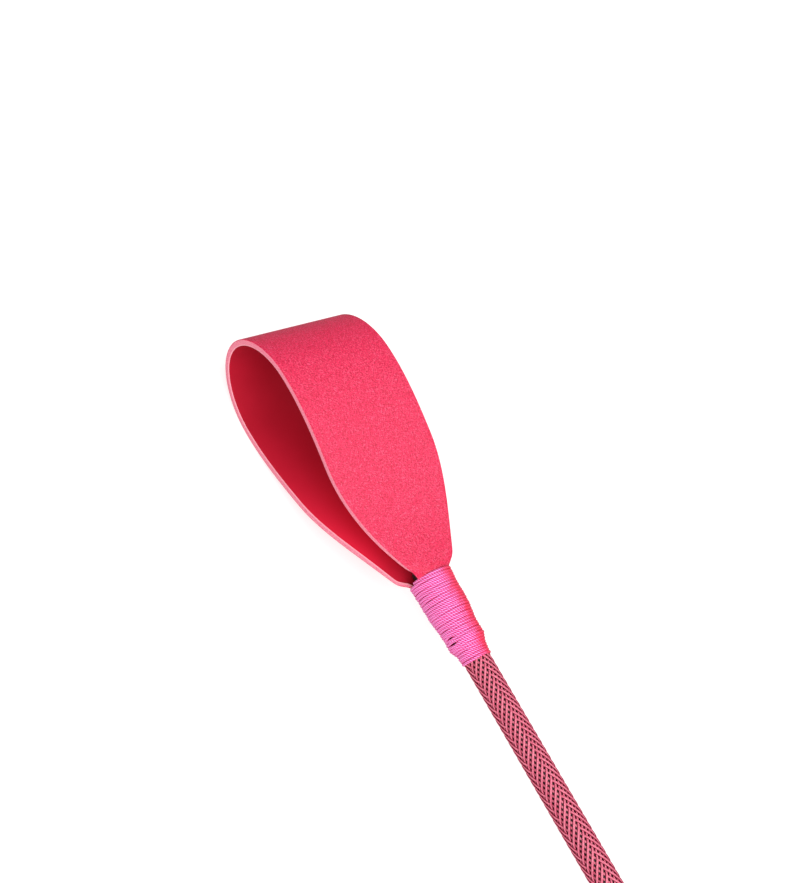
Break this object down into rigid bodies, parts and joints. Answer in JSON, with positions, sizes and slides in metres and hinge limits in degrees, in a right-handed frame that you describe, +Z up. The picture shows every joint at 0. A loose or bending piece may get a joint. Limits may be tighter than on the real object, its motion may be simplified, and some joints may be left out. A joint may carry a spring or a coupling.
{
  "type": "riding crop",
  "caption": "Riding crop with a folded leather tongue whipped to a braided shaft, a wrapped grip, a mushroom cap and a wrist strap.",
  "frame": {"origin": "on the table under the middle of the crop's box, wrist strap included", "axes": "+X along the shaft towards the tongue, +Y across the tongue, +Z up"},
  "size_m": [0.619, 0.06, 0.0394],
  "materials": {
    "rod": "pultruded glass fibre, black, satin",
    "braid": "braided nylon, dusty rose",
    "tongue_leather": "pebbled coated leather, hot pink, semi-matte",
    "binding_cord": "twisted cord, hot pink, shiny",
    "grip_core": "moulded, matte",
    "grip_leather": "black, fine grain",
    "cap": "moulded, black, satin",
    "pin": "plain steel"
  },
  "bodies": {
    "handle": {"core_rod": "rod", "braid_sleeve": "braid", "tongue_tail_upper": "tongue_leather", "tongue_tail_lower": "tongue_leather", "tongue_binding": "binding_cord", "grip_core": "grip_core", "grip_wrap": "grip_leather", "grip_front_binding": "binding_cord", "butt_cap": "cap", "strap_pin": "pin", "wrist_strap_tail_near": "grip_leather", "wrist_strap_tail_far": "grip_leather"},
    "tongue": {"tongue_loop": "tongue_leather"},
    "wrist_loop": {"wrist_strap_loop": "grip_leather"}
  },
  "joints": [
    {"name": "tongue_flex", "type": "hinge", "parent": "handle", "child": "tongue", "pos_m": [0.2172, 0, 0.0197], "axis": [0, 1, 0], "range_deg": [-30, 30], "stiffness_Nm_per_rad": 0.4},
    {"name": "wrist_strap_swing", "type": "hinge", "parent": "handle", "child": "wrist_loop", "pos_m": [-0.1915, 0, 0.0197], "axis": [0, 0, 1], "range_deg": [-60, 60]}
  ]
}
